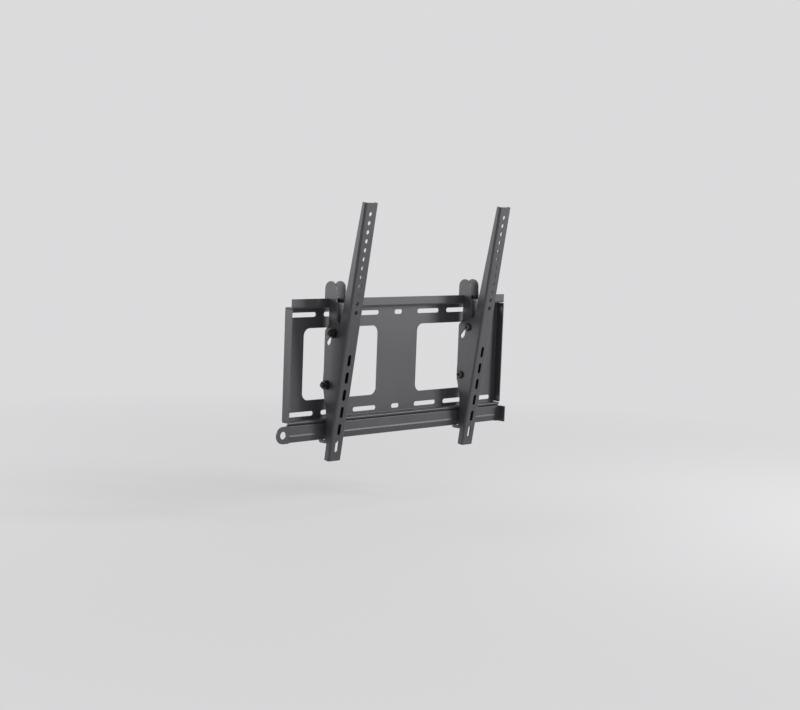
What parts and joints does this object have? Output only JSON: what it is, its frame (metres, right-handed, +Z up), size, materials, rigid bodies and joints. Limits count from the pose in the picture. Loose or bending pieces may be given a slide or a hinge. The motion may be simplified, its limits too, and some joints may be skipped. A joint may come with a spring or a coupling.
{
  "type": "tilting screen wall bracket",
  "caption": "Tilting wall bracket for a flat screen: slotted folded-steel wall plate with a hook rail, sliding hook brackets, leaning pierced arms and a sliding padlock bar",
  "frame": {"origin": "centre of the wall plate's back face, on the wall", "axes": "+X to the right seen from the room, +Y into the wall, +Z up; the room is at -Y"},
  "size_m": [0.5513, 0.0998, 0.4349],
  "materials": {
    "powder_coat": "satin black powder coat",
    "black_steel": "black oxide steel fasteners",
    "black_polymer": "matt black friction washer"
  },
  "bodies": {
    "wall_plate": {"wall_plate": "powder_coat"},
    "lock_bar": {"lock_bar": "powder_coat"},
    "left_hook": {"left_hook_bracket": "powder_coat"},
    "left_arm": {"left_arm": "powder_coat", "left_upper_bolt": "black_steel", "left_upper_washer": "black_steel", "left_upper_nut": "black_steel", "left_upper_friction_washers": "black_polymer", "left_upper_spacer": "black_steel", "left_lower_bolt": "black_steel", "left_lower_washer": "black_steel", "left_lower_nut": "black_steel", "left_lower_friction_washers": "black_polymer", "left_lower_spacer": "black_steel"},
    "right_hook": {"right_hook_bracket": "powder_coat"},
    "right_arm": {"right_arm": "powder_coat", "right_upper_bolt": "black_steel", "right_upper_washer": "black_steel", "right_upper_nut": "black_steel", "right_upper_friction_washers": "black_polymer", "right_upper_spacer": "black_steel", "right_lower_bolt": "black_steel", "right_lower_washer": "black_steel", "right_lower_nut": "black_steel", "right_lower_friction_washers": "black_polymer", "right_lower_spacer": "black_steel"}
  },
  "joints": [
    {"name": "lock_bar_slide", "type": "slide", "parent": "wall_plate", "child": "lock_bar", "axis": [1, 0, 0], "range_m": [0, 0.56]},
    {"name": "left_hook_slide", "type": "slide", "parent": "wall_plate", "child": "left_hook", "axis": [1, 0, 0], "range_m": [-0.055, 0.12]},
    {"name": "right_hook_slide", "type": "slide", "parent": "wall_plate", "child": "right_hook", "axis": [1, 0, 0], "range_m": [-0.12, 0.06]},
    {"name": "left_tilt", "type": "hinge", "parent": "left_hook", "child": "left_arm", "pos_m": [-0.1696, -0.1169, -0.0425], "axis": [1, 0, 0], "range_deg": [-11, 2]},
    {"name": "right_tilt", "type": "hinge", "parent": "right_hook", "child": "right_arm", "pos_m": [0.1618, -0.1169, -0.0425], "axis": [1, 0, 0], "range_deg": [-11, 2]}
  ]
}
